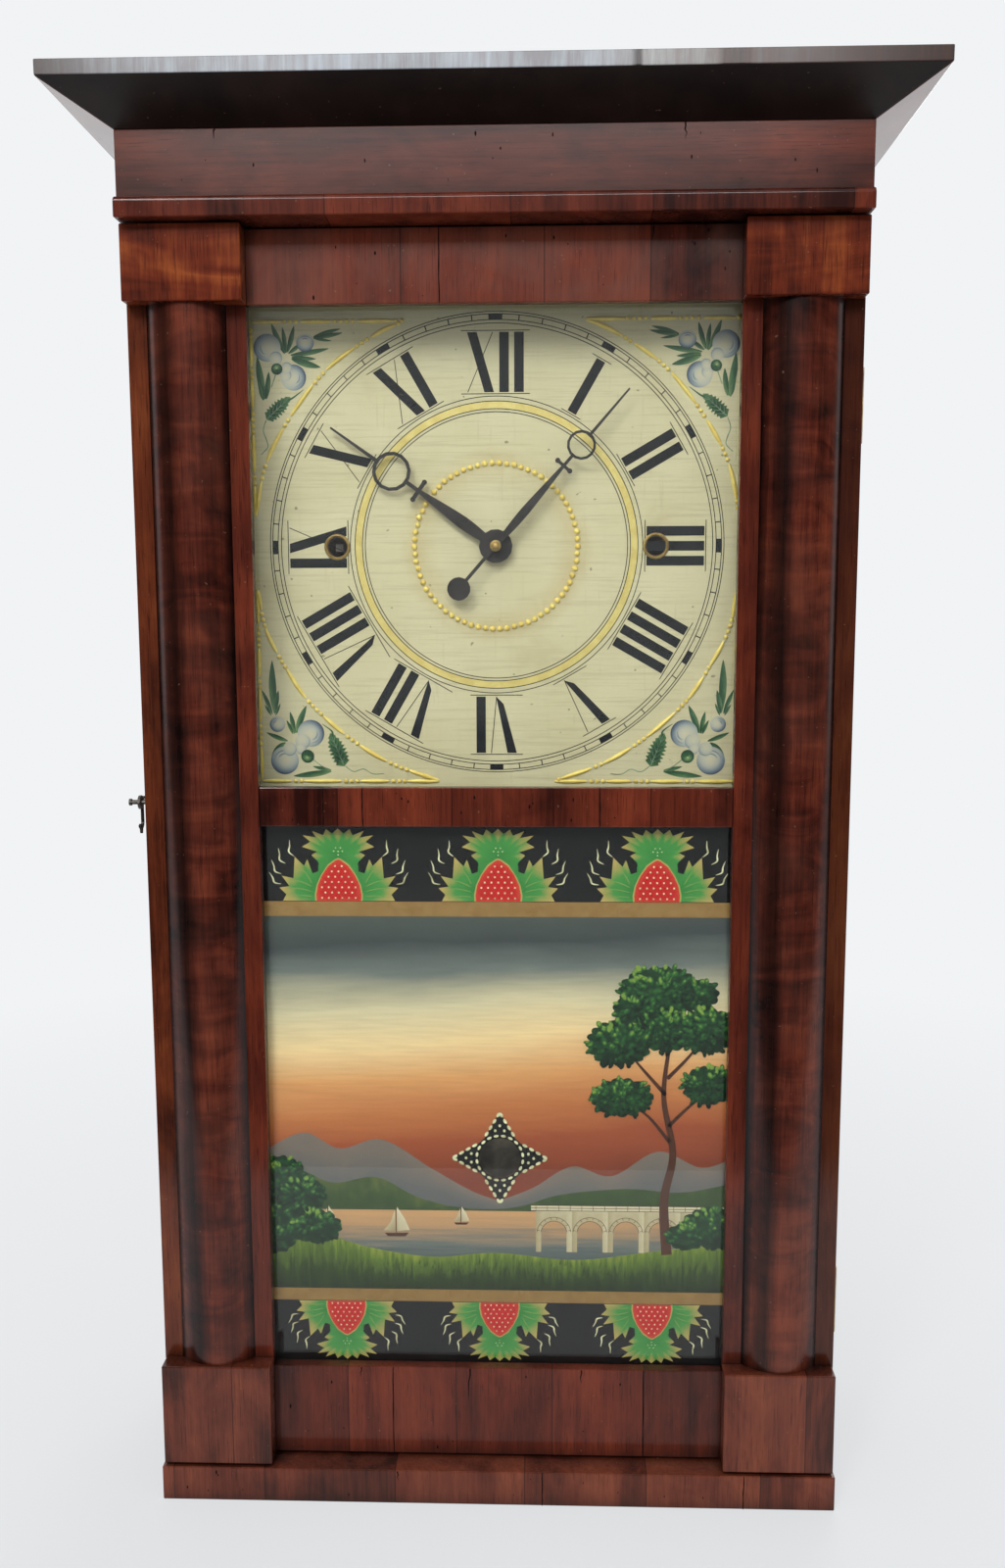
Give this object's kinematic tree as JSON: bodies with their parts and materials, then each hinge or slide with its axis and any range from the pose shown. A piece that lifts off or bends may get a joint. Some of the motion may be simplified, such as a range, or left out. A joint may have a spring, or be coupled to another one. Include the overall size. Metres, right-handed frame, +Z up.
{
  "type": "shelf clock",
  "caption": "Weight-driven wooden-works shelf clock: glazed door with half columns, flared cornice, painted dial, pendulum, strike",
  "frame": {"origin": "on the ground, below the centre of the clock's overall box", "axes": "+Z up; -Y is the clock's front; +X is to the right for someone who looks at the dial"},
  "size_m": [0.472, 0.168, 0.825],
  "materials": {
    "mahogany": "dark red-brown figured veneer under an old gloss varnish",
    "pine": "bare aged softwood",
    "cherry": "bare hardwood, sawn and turned",
    "dial_paint": "aged cream paint with black numerals and gilding",
    "clear_glass": "old clear glass",
    "painted_glass": "glass painted on its back, with a clear round opening",
    "brass": "aged brass",
    "black_iron": "blackened iron",
    "steel": "dull dark steel",
    "cast_iron": "rough grey cast iron",
    "cord": "twisted linen cord"
  },
  "bodies": {
    "case": {"case_bottom": "mahogany", "case_side_left": "mahogany", "case_side_right": "mahogany", "back_board": "pine", "case_top": "pine", "architrave_strip": "mahogany", "frieze_board": "mahogany", "cornice_front": "mahogany", "cornice_left": "mahogany", "cornice_right": "mahogany", "chute_board_left": "pine", "chute_board_right": "pine", "dial_board": "dial_paint", "winding_grommet_left": "brass", "winding_grommet_right": "brass", "hinge_lower_case_leaf": "brass", "hinge_upper_case_leaf": "brass", "movement_front_plate": "cherry", "movement_back_plate": "cherry", "bell": "cast_iron", "time_cord_run": "cord", "strike_cord_run": "cord", "latch_stud": "black_iron"},
    "door": {"stile_left": "mahogany", "stile_right": "mahogany", "rail_top": "mahogany", "rail_middle": "mahogany", "rail_bottom": "mahogany", "column_left": "mahogany", "column_right": "mahogany", "plinth_block_left": "mahogany", "plinth_block_right": "mahogany", "cap_block_left": "mahogany", "cap_block_right": "mahogany", "dial_glass": "clear_glass", "tablet_glass": "painted_glass", "hinge_lower_door_leaf": "brass", "hinge_upper_door_leaf": "brass"},
    "hook": {"latch_hook": "black_iron"},
    "centre": {"minute_hand": "black_iron", "centre_arbor": "cherry"},
    "hour": {"hour_hand": "black_iron", "hour_wheel": "cherry"},
    "minute_wheel": {"minute_wheel": "cherry"},
    "time_great_wheel": {"time_great_wheel": "cherry"},
    "second_wheel": {"second_wheel": "cherry"},
    "third_wheel": {"third_wheel": "cherry"},
    "escape_wheel": {"escape_wheel": "brass"},
    "verge": {"verge": "steel"},
    "pendulum": {"pendulum_rod": "brass", "pendulum_bob": "brass"},
    "time_drum": {"time_drum": "cherry"},
    "time_pulley": {"time_pulley": "cherry"},
    "time_weight": {"time_weight": "cast_iron", "time_cord_drop": "cord"},
    "strike_drum": {"strike_drum": "cherry"},
    "strike_pulley": {"strike_pulley": "cherry"},
    "strike_weight": {"strike_weight": "cast_iron", "strike_cord_drop": "cord"},
    "strike_hammer": {"strike_hammer": "steel"}
  },
  "joints": [
    {"name": "door_hinge", "type": "hinge", "parent": "case", "child": "door", "pos_m": [0.2076, -0.021, 0.387], "axis": [0, 0, 1], "range_deg": [0, 120]},
    {"name": "hook_pivot", "type": "hinge", "parent": "door", "child": "hook", "pos_m": [-0.212, -0.027, 0.429], "axis": [-1, 0, 0], "range_deg": [0, 270]},
    {"name": "minute_turn", "type": "hinge", "parent": "case", "child": "centre", "pos_m": [0, 0.047, 0.5793], "axis": [0, 1, 0], "continuous": true},
    {"name": "hour_turn", "type": "hinge", "parent": "case", "child": "hour", "pos_m": [0, 0.012, 0.5793], "axis": [0, 1, 0], "continuous": true},
    {"name": "minute_wheel_turn", "type": "hinge", "parent": "case", "child": "minute_wheel", "pos_m": [0.0212, 0.015, 0.5581], "axis": [0, 1, 0], "continuous": true},
    {"name": "great_wheel_turn", "type": "hinge", "parent": "case", "child": "time_great_wheel", "pos_m": [-0.0945, 0.034, 0.5793], "axis": [0, 1, 0], "continuous": true},
    {"name": "second_wheel_turn", "type": "hinge", "parent": "case", "child": "second_wheel", "pos_m": [-0.04725, 0.047, 0.57085], "axis": [0, 1, 0], "continuous": true},
    {"name": "third_wheel_turn", "type": "hinge", "parent": "case", "child": "third_wheel", "pos_m": [0.0076, 0.047, 0.6246], "axis": [0, 1, 0], "continuous": true},
    {"name": "escape_wheel_turn", "type": "hinge", "parent": "case", "child": "escape_wheel", "pos_m": [0, 0.047, 0.668], "axis": [0, 1, 0], "continuous": true},
    {"name": "pendulum_swing", "type": "hinge", "parent": "case", "child": "pendulum", "pos_m": [0, 0.006, 0.704], "axis": [0, 1, 0], "range_deg": [-4.5, 4.5]},
    {"name": "verge_rock", "type": "hinge", "parent": "case", "child": "verge", "pos_m": [0, 0.015, 0.704], "axis": [0, 1, 0], "range_deg": [-4.5, 4.5]},
    {"name": "time_winding", "type": "hinge", "parent": "case", "child": "time_drum", "pos_m": [-0.0945, 0.047, 0.5793], "axis": [0, 1, 0], "range_deg": [0, 1080]},
    {"name": "time_pulley_turn", "type": "hinge", "parent": "case", "child": "time_pulley", "pos_m": [-0.1637, 0.04025, 0.7955], "axis": [0, -1, 0], "range_deg": [0, 2030]},
    {"name": "time_weight_fall", "type": "slide", "parent": "case", "child": "time_weight", "axis": [0, 0, -1], "range_m": [0, 0.3996], "deforming": ["time_cord_drop"]},
    {"name": "strike_winding", "type": "hinge", "parent": "case", "child": "strike_drum", "pos_m": [0.0945, 0.047, 0.5793], "axis": [0, -1, 0], "range_deg": [0, 1080]},
    {"name": "strike_pulley_turn", "type": "hinge", "parent": "case", "child": "strike_pulley", "pos_m": [0.1637, 0.04025, 0.7955], "axis": [0, 1, 0], "range_deg": [0, 2030]},
    {"name": "strike_weight_fall", "type": "slide", "parent": "case", "child": "strike_weight", "axis": [0, 0, -1], "range_m": [0, 0.3996], "deforming": ["strike_cord_drop"]},
    {"name": "hammer_lift", "type": "hinge", "parent": "case", "child": "strike_hammer", "pos_m": [0.084, 0.047, 0.5293], "axis": [0, 1, 0], "range_deg": [0, 20]}
  ],
  "couplings": [
    {"joint": "hour_turn", "follows": "minute_turn", "ratio": 0.083333},
    {"joint": "minute_wheel_turn", "follows": "minute_turn", "ratio": -0.33333},
    {"joint": "second_wheel_turn", "follows": "minute_turn", "ratio": -0.5},
    {"joint": "great_wheel_turn", "follows": "minute_turn", "ratio": 0.1},
    {"joint": "third_wheel_turn", "follows": "minute_turn", "ratio": -7.5},
    {"joint": "escape_wheel_turn", "follows": "minute_turn", "ratio": 60},
    {"joint": "verge_rock", "follows": "pendulum_swing", "ratio": 1},
    {"joint": "time_winding", "follows": "time_weight_fall", "rad_per_m": 47.17},
    {"joint": "time_pulley_turn", "follows": "time_weight_fall", "rad_per_m": 88.496},
    {"joint": "strike_winding", "follows": "strike_weight_fall", "rad_per_m": 47.17},
    {"joint": "strike_pulley_turn", "follows": "strike_weight_fall", "rad_per_m": 88.496}
  ]
}
